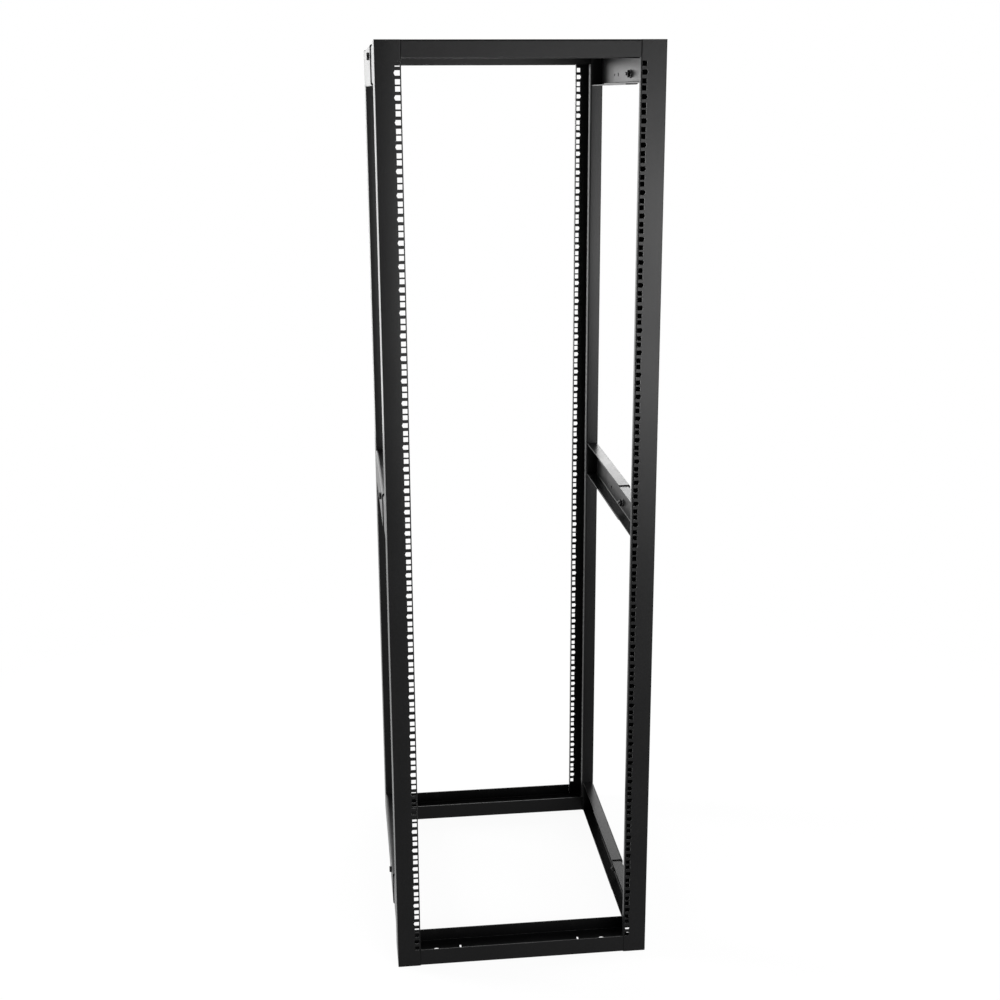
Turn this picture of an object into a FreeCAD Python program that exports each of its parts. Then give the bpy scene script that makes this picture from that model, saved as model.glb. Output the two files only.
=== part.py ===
import FreeCAD, Part

import math
import os

os.makedirs("parts", exist_ok=True)

# Four post open frame rack for 19 inch equipment. Millimetres.
# +X is to the right seen from the front, +Y runs from the front to the rear, +Z is up.
# The origin is on the floor, in the middle of the footprint.

# Equipment grid: each unit has three holes, at these heights above its base
UNIT_HEIGHT = 44.45
UNIT_COUNT = 42
HOLE_COLUMN_SPACING = 465.1
HOLE_SIZE = 9.5
HOLE_HEIGHTS = (6.35, 22.225, 38.1)
UNIT_MARK_DEPTH = 2.2
HOLE_TO_FOLD = 0.25

# Frame. The posts and the cross beams are equally deep.
FRAME_DEPTH = 760.0
END_DEPTH = 95.0
END_MARGIN = 37.0
SHEET = 2.0
FOLD_FACETS = 3

# Posts: a lipped channel that is open towards the middle of the frame
POST_FOLD_RADIUS = 0.25
POST_FACE_WIDTH = 49.7
POST_EDGE_LIP = 14.0
POST_RETURN_WIDTH = 27.5
POST_RETURN_LIP = 25.0

# Cross beams between the posts: the base beams open upwards, the top beams downwards
BEAM_FOLD_RADIUS = 1.0
BASE_BEAM_NEAR_WALL = 38.0
BASE_BEAM_FAR_WALL = 30.0
TOP_BEAM_WALL = 32.0

# Floor anchors and slots in the base beams, measured from the near wall's face
ANCHOR_DIAMETER = 12.0
ANCHOR_SPACING = 374.0
ANCHOR_FROM_WALL = 58.0
SLOT_WIDTH = 4.0
SLOT_LENGTH = 38.0
SLOT_SPACING = 266.0
SLOT_FROM_WALL = 50.0

# Side rails: a front channel that slides in a rear sleeve, both open towards the middle
RAIL_FOLD_RADIUS = 2.5
RAIL_HEIGHT = 80.0
RAIL_FLANGE = 26.0
SLIDE_GAP = 0.3
SLEEVE_LENGTH = 405.0
CHANNEL_LENGTH = 413.0
MIDDLE_RAIL_HEIGHT = 967.0

# Holes in the rails' webs, in one row that lies below the middle of a right hand rail.
# The channel has two spare ones near its end: distance from the end, and diameter.
BOLT_HOLE = 8.4
BOLT_ROW_DROP = 18.0
BOLT_FROM_SLEEVE_END = 60.0
SPARE_HOLES = ((53.0, 8.4), (11.0, 6.0))
ROUND_HOLE_FACETS = 12

# Worked out from the values above
FRAME_HEIGHT = UNIT_HEIGHT * UNIT_COUNT + 2 * END_MARGIN
HOLE_EDGE = (HOLE_COLUMN_SPACING - HOLE_SIZE) / 2
OPENING_HALF = HOLE_EDGE - HOLE_TO_FOLD - POST_FOLD_RADIUS - SHEET
SIDE_HALF = OPENING_HALF + POST_FACE_WIDTH
RETURN_EDGE = SIDE_HALF - POST_RETURN_WIDTH
FRONT = -FRAME_DEPTH / 2
REAR = FRAME_DEPTH / 2
RAIL_START = FRONT + END_DEPTH
RAIL_END = REAR - END_DEPTH
SLEEVE_START = RAIL_END - SLEEVE_LENGTH
CHANNEL_END = RAIL_START + CHANNEL_LENGTH
BOLT_Y = SLEEVE_START + BOLT_FROM_SLEEVE_END
FLANGE_EDGE = SIDE_HALF - RAIL_FLANGE
RAIL_MIDDLES = {
    "bottom": RAIL_HEIGHT / 2,
    "middle": MIDDLE_RAIL_HEIGHT,
    "top": FRAME_HEIGHT - RAIL_HEIGHT / 2,
}

X = FreeCAD.Vector(1, 0, 0)
Y = FreeCAD.Vector(0, 1, 0)
Z = FreeCAD.Vector(0, 0, 1)
ORIGIN = FreeCAD.Vector(0, 0, 0)


def at(x, y, z=0.0):
    return FreeCAD.Vector(x, y, z)


def prism(points, along):
    return Part.Face(Part.makePolygon(points + points[:1])).extrude(along)


def drawing_plane(u_axis, v_axis, origin=ORIGIN):
    """The matrix that carries the drawing plane's u and v onto two axes of the frame."""
    w_axis = u_axis.cross(v_axis)
    columns = (u_axis, v_axis, w_axis, origin)
    values = [column[row] for row in range(3) for column in columns]
    return FreeCAD.Matrix(*values, 0, 0, 0, 1)


def left_of(start, end):
    """The step across the sheet, to the left of a line from start to end."""
    direction = (end - start).normalize()
    return at(-direction.y, direction.x) * SHEET


def folded_sheet(corners, radius, place, along):
    """Sheet with square folds of an inner radius, extruded.

    The corners are the sheet's outer line, with the sheet on its left. place carries the
    section from the drawing plane into the frame.
    """
    line = [at(u, v) for u, v in corners]
    outer = [line[0]]
    inner = [line[0] + left_of(line[0], line[1])]
    for before, corner, after in zip(line, line[1:], line[2:]):
        back = (before - corner).normalize()
        ahead = (after - corner).normalize()
        centre = corner + (back + ahead) * (radius + SHEET)
        for step in range(FOLD_FACETS + 1):
            turn = math.radians(90.0 * step / FOLD_FACETS)
            outwards = (ahead * math.cos(turn) + back * math.sin(turn)) * -1
            outer.append(centre + outwards * (radius + SHEET))
            inner.append(centre + outwards * radius)
    outer.append(line[-1])
    inner.append(line[-1] + left_of(line[-2], line[-1]))
    section = Part.Face(Part.makePolygon(outer + inner[::-1] + outer[:1]))
    section.transformShape(place)
    return section.extrude(along)


def equipment_hole(z, marked):
    """A square hole in the front right post. A marked one has a point on its outer side."""
    half = HOLE_SIZE / 2
    middle = HOLE_COLUMN_SPACING / 2
    y = FRONT - SHEET
    points = [at(middle - half, y, z - half), at(middle + half, y, z - half)]
    if marked:
        points.append(at(middle + half + UNIT_MARK_DEPTH, y, z))
    points += [at(middle + half, y, z + half), at(middle - half, y, z + half)]
    return prism(points, Y * 3 * SHEET)


def make_post():
    """The front right post, with its column of holes."""
    back = FRONT + END_DEPTH
    corners = [
        (OPENING_HALF, FRONT + POST_EDGE_LIP),
        (OPENING_HALF, FRONT),
        (SIDE_HALF, FRONT),
        (SIDE_HALF, back),
        (RETURN_EDGE, back),
        (RETURN_EDGE, back - POST_RETURN_LIP),
    ]
    post = folded_sheet(corners, POST_FOLD_RADIUS, drawing_plane(X, Y), Z * FRAME_HEIGHT)
    holes = []
    for unit in range(UNIT_COUNT):
        base = END_MARGIN + unit * UNIT_HEIGHT
        for i, height in enumerate(HOLE_HEIGHTS):
            holes.append(equipment_hole(base + height, marked=(i == 1)))
    return post.cut(Part.makeCompound(holes))


def room_for_posts():
    """Blocks that hold the sheet of the four posts, to cut out of a beam."""
    return_lip = FRONT + END_DEPTH - POST_RETURN_LIP
    blocks = []
    for (x, y), (far_x, far_y) in (
        ((OPENING_HALF, FRONT - SHEET), (SIDE_HALF, FRONT + SHEET)),
        ((OPENING_HALF, FRONT), (OPENING_HALF + SHEET, FRONT + POST_EDGE_LIP)),
        ((RETURN_EDGE, return_lip), (SIDE_HALF, FRONT + END_DEPTH + SHEET)),
    ):
        height = FRAME_HEIGHT + 2 * SHEET
        blocks.append(Part.makeBox(far_x - x, far_y - y, height, at(x, y, -SHEET)))
    blocks += [block.mirror(ORIGIN, Y) for block in blocks]
    return blocks + [block.mirror(ORIGIN, X) for block in blocks]


def beam_between_posts(corners, reach):
    """A channel across the frame, from a section whose corners are (y, z).

    It reaches as far as reach to both sides, with its corners cut out round the posts' sheet.
    """
    place = drawing_plane(Y, Z, at(-reach, 0, 0))
    channel = folded_sheet(corners, BEAM_FOLD_RADIUS, place, X * 2 * reach)
    return channel.cut(room_for_posts())


def floor_slot(x, y):
    corner = at(x - SLOT_WIDTH / 2, y - SLOT_LENGTH / 2, -SHEET)
    return Part.makeBox(SLOT_WIDTH, SLOT_LENGTH, 3 * SHEET, corner)


def floor_anchor_hole(x, y):
    return Part.makeCylinder(ANCHOR_DIAMETER / 2, 3 * SHEET, at(x, y, -SHEET), Z)


def make_base_beam(near_y):
    """A tray on the floor, with its taller wall at near_y. Its floor closes the posts below."""
    far_y = near_y + END_DEPTH
    corners = [
        (near_y, BASE_BEAM_NEAR_WALL),
        (near_y, 0.0),
        (far_y, 0.0),
        (far_y, BASE_BEAM_FAR_WALL),
    ]
    beam = beam_between_posts(corners, SIDE_HALF - SHEET)
    cuts = []
    for side in (-1, 1):
        cuts.append(floor_anchor_hole(side * ANCHOR_SPACING / 2, near_y + ANCHOR_FROM_WALL))
        cuts.append(floor_slot(side * SLOT_SPACING / 2, near_y + SLOT_FROM_WALL))
    return beam.cut(Part.makeCompound(cuts))


def make_top_beam(near_y):
    """A channel flush with the tops of the posts."""
    far_y = near_y + END_DEPTH
    lower_edge = FRAME_HEIGHT - TOP_BEAM_WALL
    corners = [
        (far_y, lower_edge),
        (far_y, FRAME_HEIGHT),
        (near_y, FRAME_HEIGHT),
        (near_y, lower_edge),
    ]
    return beam_between_posts(corners, RETURN_EDGE)


def web_hole(diameter, y, middle):
    """A cutter across the web of a right hand rail, in the rail's row of holes."""
    reach = diameter / 2 / math.cos(math.pi / ROUND_HOLE_FACETS)
    points = []
    for i in range(ROUND_HOLE_FACETS):
        turn = math.tau * (i + 0.5) / ROUND_HOLE_FACETS
        across = reach * math.cos(turn)
        up = reach * math.sin(turn)
        points.append(at(FLANGE_EDGE, y + across, middle - BOLT_ROW_DROP + up))
    return prism(points, X * 2 * RAIL_FLANGE)


def rail_section(middle, inset, start, end):
    """A right hand channel from start to end, its outside set in from the frame's side."""
    half = RAIL_HEIGHT / 2 - inset
    side = SIDE_HALF - inset
    corners = [
        (FLANGE_EDGE, middle - half),
        (side, middle - half),
        (side, middle + half),
        (FLANGE_EDGE, middle + half),
    ]
    place = drawing_plane(X, Z, at(0, end, 0))
    return folded_sheet(corners, RAIL_FOLD_RADIUS, place, Y * (start - end))


def make_rail_sleeve(middle):
    """The rear section, whose front end shows as a seam across the rail."""
    sleeve = rail_section(middle, 0.0, SLEEVE_START, RAIL_END)
    return sleeve.cut(web_hole(BOLT_HOLE, BOLT_Y, middle))


def make_rail_channel(middle):
    """The front section, which slides in the sleeve."""
    channel = rail_section(middle, SHEET + SLIDE_GAP, RAIL_START, CHANNEL_END)
    holes = [web_hole(BOLT_HOLE, BOLT_Y, middle)]
    for from_end, diameter in SPARE_HOLES:
        holes.append(web_hole(diameter, CHANNEL_END - from_end, middle))
    return channel.cut(Part.makeCompound(holes))


def turned_over(rail, middle):
    """A right hand rail for the left side. Its row of holes comes above the middle."""
    return rail.rotated(at(0, 0, middle), Y, 180)


def save(shape, name):
    shape.exportStep("parts/%s.step" % name)


def main():
    front_right = make_post()
    rear_right = front_right.mirror(ORIGIN, Y)
    save(front_right, "post_front_right")
    save(front_right.mirror(ORIGIN, X), "post_front_left")
    save(rear_right, "post_rear_right")
    save(rear_right.mirror(ORIGIN, X), "post_rear_left")

    save(make_base_beam(FRONT), "base_beam_front")
    save(make_base_beam(REAR - END_DEPTH), "base_beam_rear")
    save(make_top_beam(FRONT), "top_beam_front")
    save(make_top_beam(REAR - END_DEPTH), "top_beam_rear")

    for level, middle in RAIL_MIDDLES.items():
        for piece, make in (("rail_sleeve", make_rail_sleeve), ("rail_channel", make_rail_channel)):
            rail = make(middle)
            save(rail, "%s_%s_right" % (piece, level))
            save(turned_over(rail, middle), "%s_%s_left" % (piece, level))


main()
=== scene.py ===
"""Finish, fasteners and studio for a four post open frame rack, laid out as an add-on."""

import math

import bmesh
import bpy
from bpy.props import FloatProperty, FloatVectorProperty, IntProperty, PointerProperty
from mathutils import Matrix, Vector


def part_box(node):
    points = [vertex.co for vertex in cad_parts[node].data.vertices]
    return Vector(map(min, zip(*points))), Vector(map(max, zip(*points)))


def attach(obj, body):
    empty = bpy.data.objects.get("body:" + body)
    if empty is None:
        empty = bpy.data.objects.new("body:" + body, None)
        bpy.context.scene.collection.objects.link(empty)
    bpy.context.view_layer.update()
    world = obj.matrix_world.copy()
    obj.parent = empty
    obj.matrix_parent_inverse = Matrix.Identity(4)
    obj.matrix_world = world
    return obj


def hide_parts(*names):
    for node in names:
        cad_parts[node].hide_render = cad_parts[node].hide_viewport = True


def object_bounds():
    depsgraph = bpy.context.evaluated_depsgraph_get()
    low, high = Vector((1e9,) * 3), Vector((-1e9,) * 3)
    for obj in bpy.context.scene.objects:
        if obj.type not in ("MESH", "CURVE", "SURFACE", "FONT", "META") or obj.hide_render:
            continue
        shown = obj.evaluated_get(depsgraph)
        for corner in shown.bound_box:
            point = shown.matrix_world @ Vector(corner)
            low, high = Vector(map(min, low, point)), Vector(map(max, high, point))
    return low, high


bl_info = {
    "name": "Open Frame Rack",
    "version": (1, 0, 0),
    "blender": (4, 5, 0),
    "location": "3D View > Sidebar > Rack",
    "description": "Dresses a four post open frame rack: powder coat, clamp bolts and studio",
    "category": "Object",
}

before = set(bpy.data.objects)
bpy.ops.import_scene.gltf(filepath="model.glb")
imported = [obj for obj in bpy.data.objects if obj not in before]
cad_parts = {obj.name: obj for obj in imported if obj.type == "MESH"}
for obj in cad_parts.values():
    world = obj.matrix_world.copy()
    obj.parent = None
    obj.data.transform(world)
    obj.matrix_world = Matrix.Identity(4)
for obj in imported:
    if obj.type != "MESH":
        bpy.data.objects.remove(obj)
CAD_LOW, CAD_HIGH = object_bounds()

MM = 0.001
SIDES = {"left": -1.0, "right": 1.0}
LEVELS = ("bottom", "middle", "top")
ENDS = {"front": -1.0, "rear": 1.0}
BODY = "root"

# How the sheet metal lies at a clamp bolt
SHEET = 2.0 * MM
SLIDE_GAP = 0.3 * MM
BOLT_FROM_SLEEVE_END = 60.0 * MM
BOLT_ROW_DROP = 18.0 * MM

# Heights of the three holes of a unit above its base, as shares of the unit
HOLES_IN_UNIT = (1.0 / 7.0, 0.5, 6.0 / 7.0)

# Directions, limits and segments for meshes
ORIGIN = Vector((0.0, 0.0, 0.0))
LEFT_TO_RIGHT = Vector((1.0, 0.0, 0.0))
UPWARDS = Vector((0.0, 0.0, 1.0))
MERGE_DISTANCE = 0.001 * MM
SHARP_ANGLE = math.radians(30.0)
FOLD_SEGMENTS = 6
FLOOR_SEGMENTS = 96

# Hexagons of the heads and nuts. The cap and the inset are shares of the width across flats
HEX_SIDES = 6
HEX_EDGE_CUTS = 7
HEX_CAP = 0.94
HEX_INSET = 0.02
CHAMFER_ANGLE = math.radians(30.0)

# The thread, as shares of its pitch, and the tip, as a share of the core's radius
THREAD_STEPS = 24
THREAD_DEPTH = 0.61
RIDGE_FOOT = 0.44
RIDGE_CREST = 0.06
RIDGE_SUNK = 0.1 * MM
TIP_CHAMFER = 0.15
SHANK_IN_HEAD = 0.1 * MM

# The nut's flange from its seat upwards, and its hexagon
# The bore and the mouth are shares of the thread's radius, the neck and the mouth's inset of the flats
TURNED_STEPS = 48
FLANGE_CHAMFER = 0.3 * MM
FLANGE_RIM = 1.0 * MM
FLANGE_SHOULDER = 1.35 * MM
FLANGE_SHOULDER_INSET = 0.25 * MM
FLANGE_TOP = 2.6 * MM
NUT_BASE = 1.6 * MM
NUT_NECK = 1.02
NUT_BORE = 0.86
NUT_MOUTH = 1.06
NUT_MOUTH_INSET = 0.12
NUT_MOUTH_DEPTH = 0.5 * MM

# Each bolt is tightened a little further than the one before
BOLT_TURN = math.radians(17.0)

# How the coat and the steel vary
CLOUDS_PER_METRE = 6.0
CLOUD_SHADE = 0.6
CLOUD_ROUGHNESS = 0.02
GRAIN_ROUGHNESS = 0.03
STEEL_GRAIN_SIZE = 0.4 * MM
STEEL_GRAIN_HEIGHT = 0.01 * MM
STEEL_ROUGHNESS = 0.38
STEEL_EDGE_RADIUS = 0.15 * MM
STEEL_METALLIC = 0.6

# The floor's glow grows from the rack outwards. It is full at a share of the floor's radius
FLOOR_GAP = 0.5 * MM
PAPER_WHITE = (0.9, 0.9, 0.9, 1.0)
GLOW_NEAR = 0.94
GLOW_STARTS = 0.6
GLOW_IS_FULL = 0.35

# Each lamp's place, target, width and height in metres
LAMPS = {
    "front_right": ((1.3, -3.6, 1.1), (0.0, -0.4, 1.3), 2.6, 1.45),
    "left": ((-3.4, 1.2, 1.2), (0.0, 0.2, 1.1), 1.2, 2.4),
    "right": ((4.2, 0.9, 0.9), (0.0, 0.2, 1.1), 2.6, 1.6),
    "high_back_right": ((1.2, 4.6, 2.35), (0.0, 0.0, 1.0), 2.4, 1.3),
    "back_left": ((-1.5, 4.4, 1.5), (0.0, 0.0, 1.2), 4.4, 3.0),
}

# The camera's sensor in millimetres, and how near and far it sees in metres
SENSOR_WIDTH = 36.0
NEAR_CLIP = 0.05
FAR_CLIP = 60.0


class RackFinish(bpy.types.PropertyGroup):
    """The black powder coat and the blackened steel."""

    coat_colour: FloatVectorProperty(
        name="Coat colour", description="Colour of the powder coat", subtype="COLOR",
        size=3, min=0.0, max=1.0, default=(0.0025, 0.0025, 0.0026))
    coat_light: FloatVectorProperty(
        name="Coat, lighter", description="The lighter grains of the powder coat", subtype="COLOR",
        size=3, min=0.0, max=1.0, default=(0.005, 0.005, 0.0052))
    grain_size: FloatProperty(
        name="Grain size", description="Width of one grain of the coat", subtype="DISTANCE",
        default=1.1 * MM, min=0.1 * MM, max=5.0 * MM)
    grain_height: FloatProperty(
        name="Grain height", description="Height of the coat's fine texture", subtype="DISTANCE",
        default=0.03 * MM, min=0.0, max=0.2 * MM)
    coat_roughness: FloatProperty(
        name="Coat roughness", description="Roughness of the powder coat", subtype="FACTOR",
        default=0.32, min=0.0, max=1.0)
    coat_ior: FloatProperty(
        name="Coat IOR", description="How strongly the coat mirrors. A low value keeps its fronts black",
        default=1.17, min=1.0, max=2.0)
    edge_radius: FloatProperty(
        name="Edge radius", description="How far the coat rounds the edges of the sheet",
        subtype="DISTANCE", default=0.5 * MM, min=0.0, max=2.0 * MM)
    steel_colour: FloatVectorProperty(
        name="Steel colour", description="Colour of the blackened bolts", subtype="COLOR",
        size=3, min=0.0, max=1.0, default=(0.01, 0.01, 0.0103))


class RackPosts(bpy.types.PropertyGroup):
    """The posts' folded sheet and their column of holes."""

    fold_radius: FloatProperty(
        name="Fold radius", description="Outer radius of the folds", subtype="DISTANCE",
        default=2.25 * MM, min=2.0 * MM, max=10.0 * MM)
    edge_lip: FloatProperty(
        name="Edge lip", description="Depth of the lip beside the holes", subtype="DISTANCE",
        default=14.0 * MM, min=3.0 * MM, max=40.0 * MM)
    return_width: FloatProperty(
        name="Return width", description="Width of the flange that looks to the frame's middle",
        subtype="DISTANCE", default=29.1 * MM, min=10.0 * MM, max=45.0 * MM)
    return_radius: FloatProperty(
        name="Return radius", description="Outer radius of the fold along the return's edge",
        subtype="DISTANCE", default=4.0 * MM, min=2.0 * MM, max=10.0 * MM)
    front_return_lip: FloatProperty(
        name="Front return lip", description="How far a front post's return is folded back",
        subtype="DISTANCE", default=7.0 * MM, min=5.0 * MM, max=30.0 * MM)
    rear_return_lip: FloatProperty(
        name="Rear return lip", description="How far a rear post's return is folded back",
        subtype="DISTANCE", default=20.0 * MM, min=5.0 * MM, max=30.0 * MM)
    column_spacing: FloatProperty(
        name="Column spacing", description="From one column of holes to the other",
        subtype="DISTANCE", default=465.1 * MM, min=0.3, max=1.0)
    hole_size: FloatProperty(
        name="Hole size", description="Width of a square hole", subtype="DISTANCE",
        default=9.5 * MM, min=3.0 * MM, max=12.0 * MM)
    unit_height: FloatProperty(
        name="Unit height", description="Height of one rack unit, which has three holes",
        subtype="DISTANCE", default=44.45 * MM, min=20.0 * MM, max=100.0 * MM)
    units: IntProperty(name="Units", description="Number of rack units", default=42, min=1, max=60)
    mark_depth: FloatProperty(
        name="Unit mark", description="Depth of the point beside the middle hole of a unit",
        subtype="DISTANCE", default=2.2 * MM, min=0.0, max=4.0 * MM)


class RackBolts(bpy.types.PropertyGroup):
    """One hexagon bolt with a flange nut clamps each side rail."""

    thread: FloatProperty(
        name="Thread", description="Outer diameter of the thread", subtype="DISTANCE",
        default=8.0 * MM, min=2.0 * MM, max=20.0 * MM)
    pitch: FloatProperty(
        name="Pitch", description="Distance from one turn of the thread to the next",
        subtype="DISTANCE", default=1.25 * MM, min=0.3 * MM, max=3.0 * MM)
    length: FloatProperty(
        name="Length", description="Length of the bolt below its head", subtype="DISTANCE",
        default=16.0 * MM, min=5.0 * MM, max=60.0 * MM)
    across_flats: FloatProperty(
        name="Across flats", description="Width of the head and of the nut", subtype="DISTANCE",
        default=13.0 * MM, min=4.0 * MM, max=40.0 * MM)
    head_height: FloatProperty(
        name="Head height", description="Height of the bolt's head", subtype="DISTANCE",
        default=5.3 * MM, min=1.0 * MM, max=20.0 * MM)
    nut_height: FloatProperty(
        name="Nut height", description="Height of the flange nut", subtype="DISTANCE",
        default=8.0 * MM, min=2.0 * MM, max=20.0 * MM)
    flange_diameter: FloatProperty(
        name="Flange diameter", description="Diameter of the nut's flange", subtype="DISTANCE",
        default=17.9 * MM, min=5.0 * MM, max=50.0 * MM)


class RackStudio(bpy.types.PropertyGroup):
    """The camera, the floor and the lamps."""

    camera_place: FloatVectorProperty(
        name="Camera", description="Where the camera stands", subtype="TRANSLATION", size=3,
        default=(-0.3618, -3.1699, 1.842))
    camera_yaw: FloatProperty(
        name="Yaw", description="How far the camera looks to the right of straight ahead",
        subtype="ANGLE", default=math.radians(6.4636))
    camera_pitch: FloatProperty(
        name="Pitch", description="How far the camera looks down", subtype="ANGLE",
        default=math.radians(15.6426))
    camera_roll: FloatProperty(
        name="Roll", description="How far the camera leans to the left", subtype="ANGLE",
        default=math.radians(-0.2876))
    lens: FloatProperty(
        name="Lens", description="Focal length on a 36 mm sensor", default=52.108, min=10.0, max=300.0)
    floor_radius: FloatProperty(
        name="Floor radius", description="Radius of the white floor", subtype="DISTANCE",
        default=6.0, min=1.0, max=20.0)
    world_light: FloatProperty(
        name="World light", description="Strength of the light from all round", default=0.25,
        min=0.0, max=5.0)
    front_power: FloatProperty(
        name="Front lamp", description="Power of the lamp in front on the right", subtype="POWER",
        default=225.0, min=0.0, max=2000.0)
    back_power: FloatProperty(
        name="Back lamp", description="Power of the large lamp behind on the left", subtype="POWER",
        default=75.0, min=0.0, max=2000.0)
    top_power: FloatProperty(
        name="High lamp", description="Power of the high lamp behind on the right", subtype="POWER",
        default=70.0, min=0.0, max=2000.0)
    right_power: FloatProperty(
        name="Right lamp", description="Power of the lamp on the right", subtype="POWER",
        default=180.0, min=0.0, max=2000.0)
    left_power: FloatProperty(
        name="Left lamp", description="Power of the tall lamp on the left", subtype="POWER",
        default=260.0, min=0.0, max=2000.0)


def new_material(name):
    """An empty node material, its tree and its Principled shader, joined to the output."""
    material = bpy.data.materials.new(name)
    material.use_nodes = True
    tree = material.node_tree
    tree.nodes.clear()
    output = tree.nodes.new("ShaderNodeOutputMaterial")
    shader = tree.nodes.new("ShaderNodeBsdfPrincipled")
    tree.links.new(shader.outputs["BSDF"], output.inputs["Surface"])
    return material, tree, shader


def math_node(tree, operation, first, second):
    node = tree.nodes.new("ShaderNodeMath")
    node.operation = operation
    for socket, value in zip(node.inputs, (first, second)):
        if isinstance(value, bpy.types.NodeSocket):
            tree.links.new(value, socket)
        else:
            socket.default_value = value
    return node.outputs["Value"]


def noise(tree, coordinates, scale, detail=2.0):
    """A noise texture's value. scale is a number or a socket."""
    node = tree.nodes.new("ShaderNodeTexNoise")
    node.inputs["Detail"].default_value = detail
    tree.links.new(coordinates, node.inputs["Vector"])
    if isinstance(scale, bpy.types.NodeSocket):
        tree.links.new(scale, node.inputs["Scale"])
    else:
        node.inputs["Scale"].default_value = scale
    return node.outputs["Fac"]


def remap(tree, value, from_low, from_high, to_low, to_high):
    node = tree.nodes.new("ShaderNodeMapRange")
    tree.links.new(value, node.inputs["Value"])
    for name, number in (
        ("From Min", from_low), ("From Max", from_high), ("To Min", to_low), ("To Max", to_high),
    ):
        node.inputs[name].default_value = number
    return node.outputs["Result"]


def grain_group():
    """The fine texture of a baked coat: a colour, a roughness and a height that vary."""
    name = "Coat grain"
    if name in bpy.data.node_groups:
        return bpy.data.node_groups[name]
    tree = bpy.data.node_groups.new(name, "ShaderNodeTree")
    face = tree.interface
    face.new_socket("Colour", in_out="INPUT", socket_type="NodeSocketColor")
    face.new_socket("Lighter", in_out="INPUT", socket_type="NodeSocketColor")
    face.new_socket("Grain Size", in_out="INPUT", socket_type="NodeSocketFloat")
    face.new_socket("Roughness", in_out="INPUT", socket_type="NodeSocketFloat")
    face.new_socket("Colour", in_out="OUTPUT", socket_type="NodeSocketColor")
    face.new_socket("Roughness", in_out="OUTPUT", socket_type="NodeSocketFloat")
    face.new_socket("Height", in_out="OUTPUT", socket_type="NodeSocketFloat")
    inside = tree.nodes.new("NodeGroupInput")
    outside = tree.nodes.new("NodeGroupOutput")
    place = tree.nodes.new("ShaderNodeTexCoord").outputs["Object"]

    frequency = math_node(tree, "DIVIDE", 1.0, inside.outputs["Grain Size"])
    grains = noise(tree, place, frequency, 3.0)
    clouds = noise(tree, place, CLOUDS_PER_METRE)

    speckle = remap(tree, grains, 0.35, 0.7, 0.0, 1.0)
    shade = math_node(tree, "MULTIPLY", speckle, remap(tree, clouds, 0.3, 0.7, CLOUD_SHADE, 1.0))
    colour = tree.nodes.new("ShaderNodeMix")
    colour.data_type = "RGBA"
    tree.links.new(shade, colour.inputs["Factor"])
    tree.links.new(inside.outputs["Colour"], colour.inputs["A"])
    tree.links.new(inside.outputs["Lighter"], colour.inputs["B"])
    tree.links.new(colour.outputs["Result"], outside.inputs["Colour"])

    spread = remap(tree, clouds, 0.3, 0.7, -CLOUD_ROUGHNESS, CLOUD_ROUGHNESS)
    fine = remap(tree, grains, 0.3, 0.7, -GRAIN_ROUGHNESS, GRAIN_ROUGHNESS)
    uneven = math_node(tree, "ADD", spread, fine)
    rough = math_node(tree, "ADD", inside.outputs["Roughness"], uneven)
    tree.links.new(rough, outside.inputs["Roughness"])
    tree.links.new(grains, outside.inputs["Height"])
    return tree


def coated_material(name, colour, lighter, grain_size, grain_height, roughness, edge_radius):
    """A Principled material with the coat's grain, on edges that are a little rounded."""
    material, tree, shader = new_material(name)
    grain = tree.nodes.new("ShaderNodeGroup")
    grain.node_tree = grain_group()
    grain.inputs["Colour"].default_value = (*colour, 1.0)
    grain.inputs["Lighter"].default_value = (*lighter, 1.0)
    grain.inputs["Grain Size"].default_value = grain_size
    grain.inputs["Roughness"].default_value = roughness
    rounded = tree.nodes.new("ShaderNodeBevel")
    rounded.samples = 4
    rounded.inputs["Radius"].default_value = edge_radius
    bump = tree.nodes.new("ShaderNodeBump")
    bump.inputs["Strength"].default_value = 1.0
    bump.inputs["Distance"].default_value = grain_height
    tree.links.new(grain.outputs["Height"], bump.inputs["Height"])
    tree.links.new(rounded.outputs["Normal"], bump.inputs["Normal"])
    tree.links.new(bump.outputs["Normal"], shader.inputs["Normal"])
    tree.links.new(grain.outputs["Colour"], shader.inputs["Base Color"])
    tree.links.new(grain.outputs["Roughness"], shader.inputs["Roughness"])
    return material, shader


def powder_coat():
    """The satin black powder coat, made once."""
    name = "satin_black_coat"
    if name in bpy.data.materials:
        return bpy.data.materials[name]
    finish = bpy.context.scene.rack_finish
    material, shader = coated_material(
        name, finish.coat_colour, finish.coat_light, finish.grain_size,
        finish.grain_height, finish.coat_roughness, finish.edge_radius)
    shader.inputs["IOR"].default_value = finish.coat_ior
    return material


def black_steel():
    """Blackened steel for the bolts and nuts, made once."""
    name = "blackened_steel"
    if name in bpy.data.materials:
        return bpy.data.materials[name]
    finish = bpy.context.scene.rack_finish
    lighter = [2.0 * value for value in finish.steel_colour]
    material, shader = coated_material(
        name, finish.steel_colour, lighter, STEEL_GRAIN_SIZE,
        STEEL_GRAIN_HEIGHT, STEEL_ROUGHNESS, STEEL_EDGE_RADIUS)
    shader.inputs["Metallic"].default_value = STEEL_METALLIC
    return material


def finish_nodes(prefix):
    """Coats the CAD nodes whose names start with prefix, in every material slot."""
    names = sorted(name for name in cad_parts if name.startswith(prefix))
    if not names:
        raise RuntimeError("The frame has no node whose name starts with %s" % prefix)
    for name in names:
        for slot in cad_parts[name].material_slots:
            slot.material = powder_coat()


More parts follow.
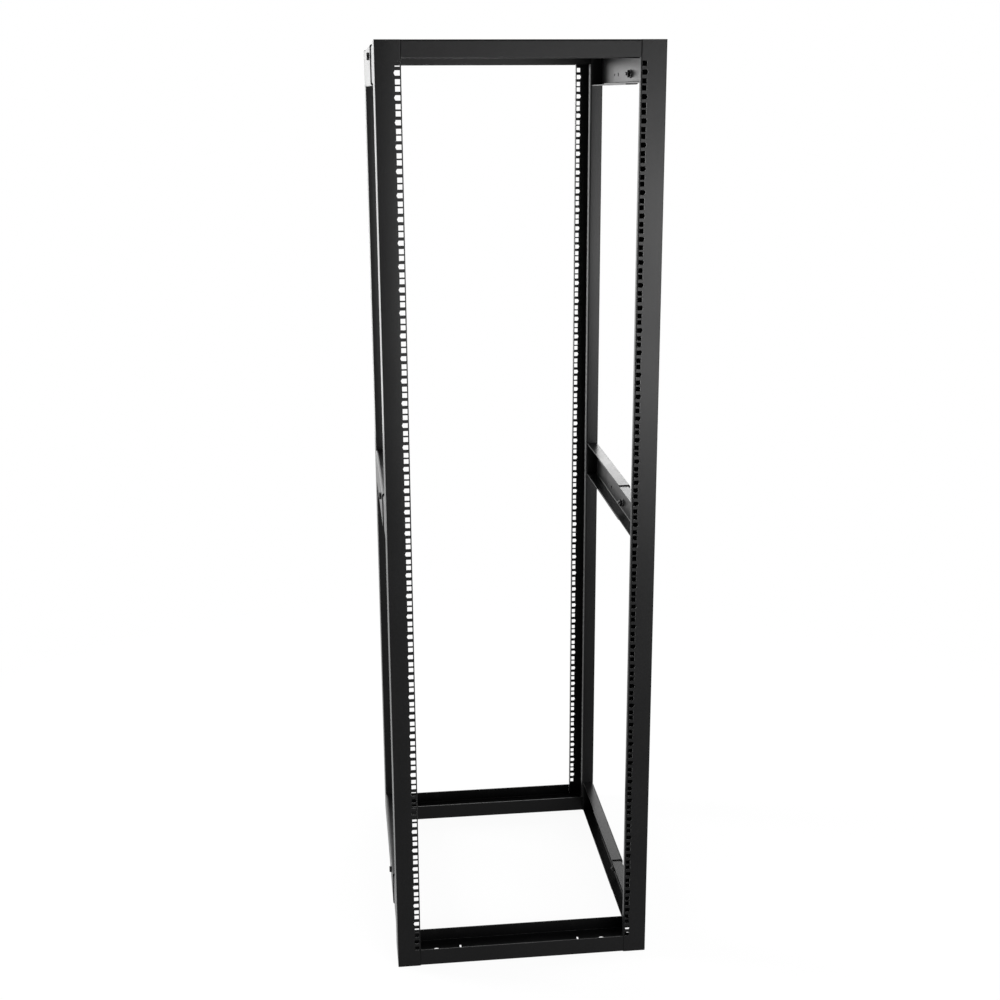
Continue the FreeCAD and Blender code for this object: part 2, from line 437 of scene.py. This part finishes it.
def post_section(bm, post, low, high, return_lip):
    """The outer line of the front right post's sheet at its foot, with round folds."""
    edge = high.x - post.return_width
    corners = (
        (low.x, low.y + post.edge_lip), (low.x, low.y), (high.x, low.y),
        (high.x, high.y), (edge, high.y), (edge, high.y - return_lip))
    radii = [post.fold_radius] * 3 + [post.return_radius]
    line = [bm.verts.new((x, y, low.z)) for x, y in corners]
    for pair in zip(line, line[1:]):
        bm.edges.new(pair)
    for corner, radius in zip(line[1:-1], radii):
        bmesh.ops.bevel(
            bm, geom=[corner], offset=radius, offset_type="OFFSET", segments=FOLD_SEGMENTS,
            profile=0.5, affect="VERTICES", material=-1)


def cut_face(bm, face, place, across):
    """Cuts a face by a plane through place. Its halves come in the order of across."""
    cut = bmesh.ops.bisect_plane(
        bm, geom=[face, *face.edges, *face.verts], dist=MERGE_DISTANCE, plane_co=place,
        plane_no=across)
    halves = [item for item in cut["geom"] if isinstance(item, bmesh.types.BMFace)]
    return sorted(halves, key=lambda half: half.calc_center_median().dot(across))


def equipment_holes(bm, post, low, high):
    """Cuts the column of square holes. The middle one of a unit has a point on its outer side."""
    half = post.hole_size / 2
    column = post.column_spacing / 2
    bottom = (low.z + high.z - post.units * post.unit_height) / 2
    front = min(bm.faces, key=lambda f: f.calc_center_median().y)
    outer_part = cut_face(bm, front, (column - half, 0.0, 0.0), LEFT_TO_RIGHT)[1]
    above = cut_face(bm, outer_part, (column + half, 0.0, 0.0), LEFT_TO_RIGHT)[0]
    holes = []
    marks = []
    for unit in range(post.units):
        for hole, share in enumerate(HOLES_IN_UNIT):
            middle = bottom + (unit + share) * post.unit_height
            _, above = cut_face(bm, above, (0.0, 0.0, middle - half), UPWARDS)
            if hole == 1:
                below, above = cut_face(bm, above, (0.0, 0.0, middle), UPWARDS)
                marks.append(max(below.verts, key=lambda v: v.co.x + v.co.z))
                holes.append(below)
            below, above = cut_face(bm, above, (0.0, 0.0, middle + half), UPWARDS)
            holes.append(below)
    bmesh.ops.delete(bm, geom=holes, context="FACES")
    bmesh.ops.translate(bm, verts=marks, vec=(post.mark_depth, 0.0, 0.0))


def folded_post(name, side, end):
    """A post of folded sheet in the place of a CAD post."""
    post = bpy.context.scene.rack_posts
    return_lip = post.front_return_lip if end < 0.0 else post.rear_return_lip
    low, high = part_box("post_front_right")
    bm = bmesh.new()
    post_section(bm, post, low, high, return_lip)
    rising = bmesh.ops.extrude_edge_only(bm, edges=bm.edges[:])["geom"]
    bmesh.ops.translate(
        bm, verts=[item for item in rising if isinstance(item, bmesh.types.BMVert)],
        vec=(0.0, 0.0, high.z - low.z))
    equipment_holes(bm, post, low, high)
    bmesh.ops.scale(bm, verts=bm.verts, vec=(side, -end, 1.0))
    bmesh.ops.recalc_face_normals(bm, faces=bm.faces)
    outermost = max(bm.faces, key=lambda f: f.calc_center_median().x * side)
    if outermost.normal.x * side < 0.0:
        bmesh.ops.reverse_faces(bm, faces=bm.faces)
    bmesh.ops.solidify(bm, geom=bm.faces[:], thickness=SHEET)
    piece = mesh_object(name, bm, powder_coat())
    piece.data.shade_smooth()
    piece.data.set_sharp_from_angle(angle=SHARP_ANGLE)
    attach(piece, BODY)
    return piece


def mesh_object(name, mesh_builder, material):
    """A shaded object at the origin, made from a bmesh."""
    mesh = bpy.data.meshes.new(name)
    mesh_builder.to_mesh(mesh)
    mesh_builder.free()
    mesh.materials.append(material)
    piece = bpy.data.objects.new(name, mesh)
    bpy.context.scene.collection.objects.link(piece)
    return piece


def round_rim(face, radius):
    """Moves the corners of a level face onto a circle about Z."""
    for vert in face.verts:
        reach = math.hypot(vert.co.x, vert.co.y)
        vert.co.x *= radius / reach
        vert.co.y *= radius / reach


def hexagon(bm, across_flats, bottom, top):
    """A hexagonal prism along Z, whose upper corners are turned down to a cone."""
    corner = across_flats / 2 / math.cos(math.pi / HEX_SIDES)
    cap = across_flats / 2 * HEX_CAP
    middle = (bottom + top) / 2
    made = bmesh.ops.create_cone(
        bm, cap_ends=True, segments=HEX_SIDES, radius1=corner, radius2=corner, depth=top - bottom,
        matrix=Matrix.Translation((0.0, 0.0, middle)))
    upper = {v for v in made["verts"] if v.co.z > middle}
    rim = {e for v in upper for e in v.link_edges if e.other_vert(v) in upper}
    bmesh.ops.subdivide_edges(bm, edges=list(rim), cuts=HEX_EDGE_CUTS)
    face = max(bm.faces, key=lambda f: f.calc_center_median().z)
    rim_corners = set(face.verts)
    bmesh.ops.inset_individual(bm, faces=[face], thickness=across_flats * HEX_INSET)
    round_rim(face, cap)
    slope = math.tan(CHAMFER_ANGLE)
    for vert in rim_corners:
        reach = math.hypot(vert.co.x, vert.co.y)
        vert.co.z -= max(0.0, reach - cap) * slope


def turned(bm, profile):
    """A ring spun about Z from a closed outline of (radius, height) points."""
    verts = [bm.verts.new((radius, 0.0, height)) for radius, height in profile]
    edges = [bm.edges.new(pair) for pair in zip(verts, verts[1:] + verts[:1])]
    bmesh.ops.spin(
        bm, geom=verts + edges, cent=ORIGIN, axis=UPWARDS, dvec=ORIGIN, angle=math.tau,
        steps=TURNED_STEPS, use_merge=True, use_duplicate=False)


def threaded_rod(bm, bolt, bottom, top):
    """The bolt's shank along Z: a core with a ridge wound round it, and a turned-down tip."""
    outer = bolt.thread / 2
    core = outer - THREAD_DEPTH * bolt.pitch
    turns = int((top - bottom) / bolt.pitch) - 1
    shank = bmesh.ops.create_cone(
        bm, cap_ends=True, segments=THREAD_STEPS, radius1=core, radius2=core, depth=top - bottom,
        matrix=Matrix.Translation((0.0, 0.0, (bottom + top) / 2)))["verts"]
    tip = min({f for v in shank for f in v.link_faces}, key=lambda f: f.calc_center_median().z)
    bmesh.ops.bevel(
        bm, geom=tip.edges[:], offset=core * TIP_CHAMFER, offset_type="OFFSET", segments=1,
        profile=0.5, affect="EDGES", material=-1)
    start = bottom + bolt.pitch / 2
    foot = bolt.pitch * RIDGE_FOOT
    crest = bolt.pitch * RIDGE_CREST
    sunk = core - RIDGE_SUNK
    section = [
        bm.verts.new(point) for point in (
            (sunk, 0.0, start - foot), (outer, 0.0, start - crest),
            (outer, 0.0, start + crest), (sunk, 0.0, start + foot))
    ]
    ridge = bm.faces.new(section)
    bmesh.ops.spin(
        bm, geom=[ridge], cent=ORIGIN, axis=UPWARDS, dvec=UPWARDS * bolt.pitch / THREAD_STEPS,
        angle=math.tau * turns, steps=THREAD_STEPS * turns, use_merge=False, use_duplicate=False)


def flange_nut(bm, bolt, base):
    """A flange nut on the Z axis that stands on base and points down."""
    rim = bolt.flange_diameter / 2
    bore = bolt.thread / 2 * NUT_BORE
    neck = bolt.across_flats / 2 * NUT_NECK
    outline = [
        (bore, 0.0), (rim - FLANGE_CHAMFER, 0.0), (rim, FLANGE_CHAMFER), (rim, FLANGE_RIM),
        (rim - FLANGE_SHOULDER_INSET, FLANGE_SHOULDER), (neck, FLANGE_TOP), (bore, FLANGE_TOP),
    ]
    turned(bm, [(radius, base - height) for radius, height in outline])
    nut = bmesh.new()
    hexagon(nut, bolt.across_flats, NUT_BASE, bolt.nut_height)
    bmesh.ops.rotate(nut, verts=nut.verts, cent=ORIGIN, matrix=Matrix.Rotation(math.pi, 3, "X"))
    bmesh.ops.translate(nut, verts=nut.verts, vec=(0.0, 0.0, base))
    top = min(nut.faces, key=lambda f: f.calc_center_median().z)
    bmesh.ops.inset_individual(nut, faces=[top], thickness=bolt.across_flats * NUT_MOUTH_INSET)
    round_rim(top, bolt.thread / 2 * NUT_MOUTH)
    bmesh.ops.inset_individual(nut, faces=[top], thickness=NUT_MOUTH_DEPTH, depth=-NUT_MOUTH_DEPTH)
    part = bpy.data.meshes.new("nut")
    nut.to_mesh(part)
    nut.free()
    bm.from_mesh(part)
    bpy.data.meshes.remove(part)


def clamp_bolt(name, seat, outwards, roll):
    """A hexagon bolt with its flange nut. Its head seats at seat and points outwards along X."""
    bolt = bpy.context.scene.rack_bolts
    bm = bmesh.new()
    hexagon(bm, bolt.across_flats, 0.0, bolt.head_height)
    flange_nut(bm, bolt, -(2 * SHEET + SLIDE_GAP))
    threaded_rod(bm, bolt, -bolt.length, SHANK_IN_HEAD)
    bmesh.ops.remove_doubles(bm, verts=bm.verts, dist=MERGE_DISTANCE)
    bmesh.ops.recalc_face_normals(bm, faces=bm.faces)
    rolled = Matrix.Rotation(roll, 3, "Z")
    aimed = Matrix.Rotation(outwards * math.pi / 2, 3, "Y")
    bmesh.ops.rotate(bm, verts=bm.verts, cent=ORIGIN, matrix=rolled)
    bmesh.ops.rotate(bm, verts=bm.verts, cent=ORIGIN, matrix=aimed)
    bmesh.ops.translate(bm, verts=bm.verts, vec=seat)
    piece = mesh_object(name, bm, black_steel())
    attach(piece, BODY)


def bolt_seat(level, side):
    """Where a bolt's head meets the outer side of a rail."""
    low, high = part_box("rail_sleeve_%s_%s" % (level, side))
    sign = SIDES[side]
    middle = (low.z + high.z) / 2
    outer = high.x if sign > 0 else low.x
    return Vector((outer, low.y + BOLT_FROM_SLEEVE_END, middle - sign * BOLT_ROW_DROP))


class RACK_OT_posts(bpy.types.Operator):
    """Folds the four posts and coats them"""

    bl_idname = "rack.posts"
    bl_label = "Posts"

    def execute(self, context):
        finish_nodes("post_")
        for end in ENDS:
            for side in SIDES:
                post = folded_post("folded_post_%s_%s" % (end, side), SIDES[side], ENDS[end])
                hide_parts("post_%s_%s" % (end, side))
        return {"FINISHED"}


class RACK_OT_cross_beams(bpy.types.Operator):
    """Coats the base beams and the top beams"""

    bl_idname = "rack.cross_beams"
    bl_label = "Cross beams"

    def execute(self, context):
        finish_nodes("base_beam_")
        finish_nodes("top_beam_")
        return {"FINISHED"}


class RACK_OT_side_rails(bpy.types.Operator):
    """Coats the sleeves and the channels of the side rails"""

    bl_idname = "rack.side_rails"
    bl_label = "Side rails"

    def execute(self, context):
        finish_nodes("rail_")
        return {"FINISHED"}


class RACK_OT_clamp_bolts(bpy.types.Operator):
    """Adds the hexagon bolt and the flange nut that clamp each side rail"""

    bl_idname = "rack.clamp_bolts"
    bl_label = "Clamp bolts"

    def execute(self, context):
        turn = 0.0
        for level in LEVELS:
            for side in SIDES:
                turn += BOLT_TURN
                name = "clamp_bolt_%s_%s" % (level, side)
                clamp_bolt(name, bolt_seat(level, side), SIDES[side], turn)
        return {"FINISHED"}


def seen_directly(tree):
    """1 for rays from the camera, a reflection or a transmission, and 0 for the rest."""
    path = tree.nodes.new("ShaderNodeLightPath")
    reflected = math_node(
        tree, "MAXIMUM", path.outputs["Is Glossy Ray"], path.outputs["Is Transmission Ray"])
    return math_node(tree, "MAXIMUM", path.outputs["Is Camera Ray"], reflected)


def white_world(strength):
    """A world that looks white and lights the object at its own strength."""
    world = bpy.data.worlds.new("White studio")
    world.use_nodes = True
    tree = world.node_tree
    tree.nodes.clear()
    output = tree.nodes.new("ShaderNodeOutputWorld")
    background = tree.nodes.new("ShaderNodeBackground")
    background.inputs["Color"].default_value = (1.0, 1.0, 1.0, 1.0)
    seen = seen_directly(tree)
    level = tree.nodes.new("ShaderNodeMapRange")
    level.inputs["To Min"].default_value = strength
    level.inputs["To Max"].default_value = 1.0
    tree.links.new(seen, level.inputs["Value"])
    tree.links.new(level.outputs["Result"], background.inputs["Strength"])
    tree.links.new(background.outputs["Background"], output.inputs["Surface"])
    bpy.context.scene.world = world


def floor_material(radius):
    """A white floor that keeps the rack's shadow near it and fades into the background."""
    material = bpy.data.materials.new("white_floor")
    material.use_nodes = True
    tree = material.node_tree
    tree.nodes.clear()
    output = tree.nodes.new("ShaderNodeOutputMaterial")
    paper = tree.nodes.new("ShaderNodeBsdfDiffuse")
    paper.inputs["Color"].default_value = PAPER_WHITE
    glow = tree.nodes.new("ShaderNodeEmission")
    mix = tree.nodes.new("ShaderNodeMixShader")
    place = tree.nodes.new("ShaderNodeTexCoord").outputs["Object"]
    length = tree.nodes.new("ShaderNodeVectorMath")
    length.operation = "LENGTH"
    tree.links.new(place, length.inputs[0])
    reach = length.outputs["Value"]
    far = remap(tree, reach, GLOW_STARTS, radius * GLOW_IS_FULL, GLOW_NEAR, 1.0)
    blend = math_node(tree, "MULTIPLY", seen_directly(tree), far)
    tree.links.new(blend, mix.inputs["Fac"])
    tree.links.new(paper.outputs["BSDF"], mix.inputs[1])
    tree.links.new(glow.outputs["Emission"], mix.inputs[2])
    tree.links.new(mix.outputs["Shader"], output.inputs["Surface"])
    return material


def area_lamp(name, place, target, width, height, power):
    """A soft lamp of width by height metres that faces target."""
    data = bpy.data.lights.new(name, "AREA")
    data.shape = "RECTANGLE"
    data.size = width
    data.size_y = height
    data.energy = power
    lamp = bpy.data.objects.new(name, data)
    lamp.location = place
    lamp.rotation_euler = (Vector(target) - Vector(place)).to_track_quat("-Z", "Y").to_euler()
    lamp.visible_camera = False
    bpy.context.scene.collection.objects.link(lamp)


def camera_matrix(place, yaw, pitch, roll):
    """The camera's place and turn, from where it looks and how it leans."""
    heading = Vector((math.sin(yaw), math.cos(yaw), 0.0))
    ahead = heading * math.cos(pitch) - UPWARDS * math.sin(pitch)
    level = Vector((math.cos(yaw), -math.sin(yaw), 0.0))
    above = level.cross(ahead)
    right = level * math.cos(roll) + above * math.sin(roll)
    up = right.cross(ahead)
    turn = Matrix((right, up, -ahead)).transposed()
    return Matrix.Translation(Vector(place)) @ turn.to_4x4()


class RACK_OT_studio(bpy.types.Operator):
    """Adds the white floor, the lamps, the world and the camera"""

    bl_idname = "rack.studio"
    bl_label = "Studio"

    def execute(self, context):
        scene = context.scene
        studio = scene.rack_studio
        white_world(studio.world_light)

        bm = bmesh.new()
        bmesh.ops.create_circle(
            bm, cap_ends=True, segments=FLOOR_SEGMENTS, radius=studio.floor_radius)
        bmesh.ops.translate(bm, verts=bm.verts, vec=(0.0, 0.0, CAD_LOW.z - FLOOR_GAP))
        floor = mesh_object("floor", bm, floor_material(studio.floor_radius))

        powers = {
            "front_right": studio.front_power,
            "left": studio.left_power,
            "right": studio.right_power,
            "high_back_right": studio.top_power,
            "back_left": studio.back_power,
        }
        for name, power in powers.items():
            area_lamp(name, *LAMPS[name], power)

        data = bpy.data.cameras.new("camera")
        data.sensor_width = SENSOR_WIDTH
        data.lens = studio.lens
        data.clip_start = NEAR_CLIP
        data.clip_end = FAR_CLIP
        camera = bpy.data.objects.new("camera", data)
        camera.matrix_world = camera_matrix(
            studio.camera_place, studio.camera_yaw, studio.camera_pitch, studio.camera_roll)
        scene.collection.objects.link(camera)
        scene.camera = camera
        scene.view_settings.view_transform = "Standard"
        return {"FINISHED"}


OPERATORS = (
    RACK_OT_posts,
    RACK_OT_cross_beams,
    RACK_OT_side_rails,
    RACK_OT_clamp_bolts,
    RACK_OT_studio,
)


class RACK_PT_panel(bpy.types.Panel):
    """Lists the rack's pieces and its studio"""

    bl_idname = "RACK_PT_panel"
    bl_label = "Open Frame Rack"
    bl_space_type = "VIEW_3D"
    bl_region_type = "UI"
    bl_category = "Rack"

    def draw(self, context):
        for operator in OPERATORS:
            self.layout.operator(operator.bl_idname)


GROUPS = {
    "rack_finish": RackFinish,
    "rack_posts": RackPosts,
    "rack_bolts": RackBolts,
    "rack_studio": RackStudio,
}
CLASSES = (*GROUPS.values(), *OPERATORS, RACK_PT_panel)


def register():
    for item in CLASSES:
        bpy.utils.register_class(item)
    for name, group in GROUPS.items():
        setattr(bpy.types.Scene, name, PointerProperty(type=group))


def unregister():
    for name in GROUPS:
        delattr(bpy.types.Scene, name)
    for item in reversed(CLASSES):
        bpy.utils.unregister_class(item)


def main():
    register()
    bpy.ops.rack.posts()
    bpy.ops.rack.cross_beams()
    bpy.ops.rack.side_rails()
    bpy.ops.rack.clamp_bolts()
    bpy.ops.rack.studio()


if __name__ == "__main__":
    main()
